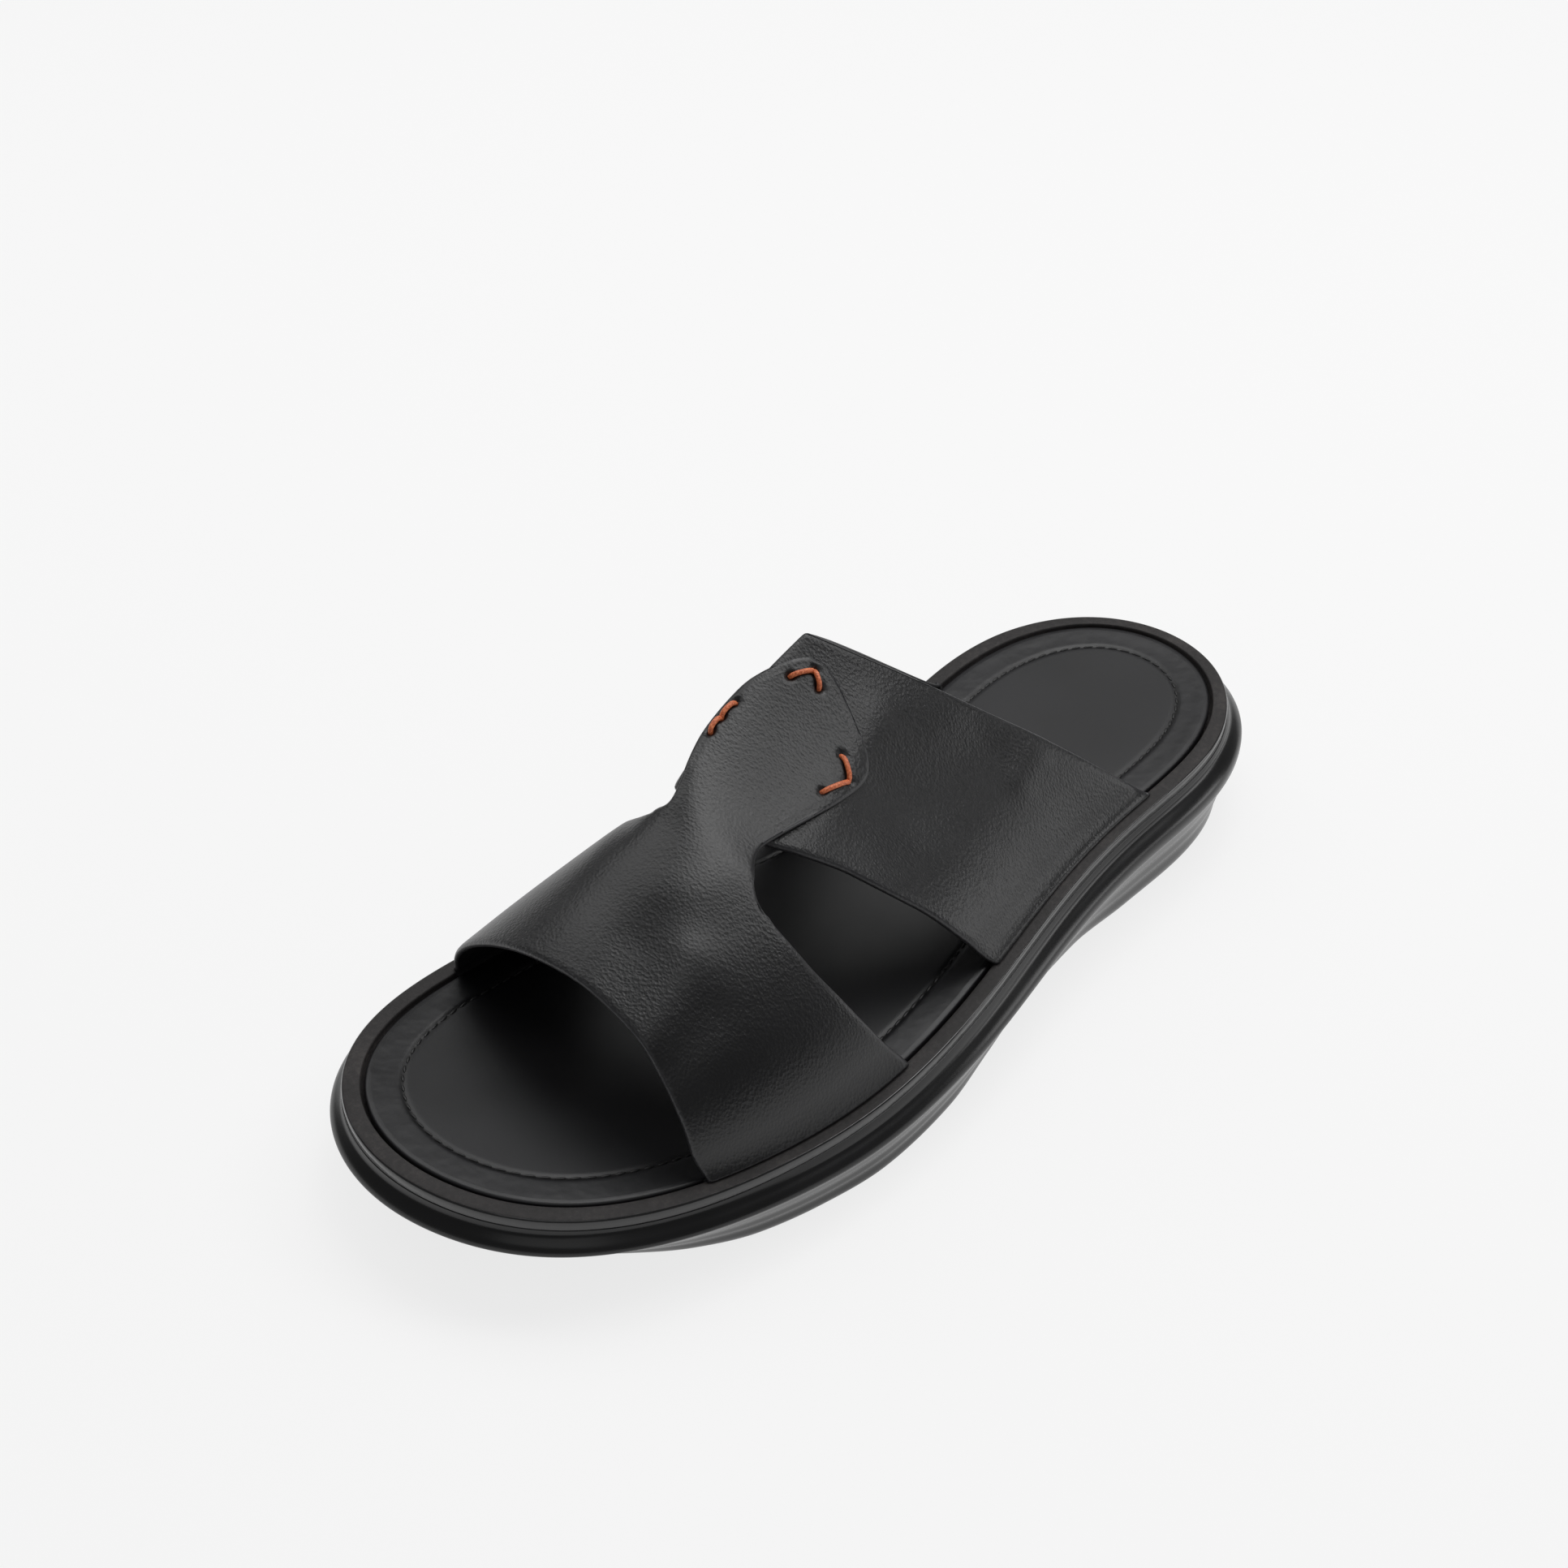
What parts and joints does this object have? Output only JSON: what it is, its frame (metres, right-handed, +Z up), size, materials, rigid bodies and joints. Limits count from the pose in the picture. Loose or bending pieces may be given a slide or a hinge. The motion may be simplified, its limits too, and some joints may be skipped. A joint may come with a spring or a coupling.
{
  "type": "sandal",
  "caption": "Left slide sandal with open toe and heel: a broad front strap whose tab is stitched over a slanting rear strap, on a contoured rubber sole with a flat rim.",
  "frame": {"origin": "on the floor under the middle of the sandal's bounding box", "axes": "+Z up from the floor, -Y towards the toe, +Y towards the heel, +X towards the outer side of the left foot"},
  "size_m": [0.1154, 0.2864, 0.0908],
  "materials": {
    "outsole_rubber": "moulded black rubber, glossy on the side",
    "rim": "black foam board, matt on top, painted edge",
    "insole_leather": "smooth black leather, satin",
    "strap_leather": "black full-grain leather, satin with a fine grain"
  },
  "bodies": {
    "root": {"outsole": "outsole_rubber", "midsole": "rim", "insole": "insole_leather", "front_strap": "strap_leather", "rear_strap": "strap_leather"}
  },
  "joints": []
}
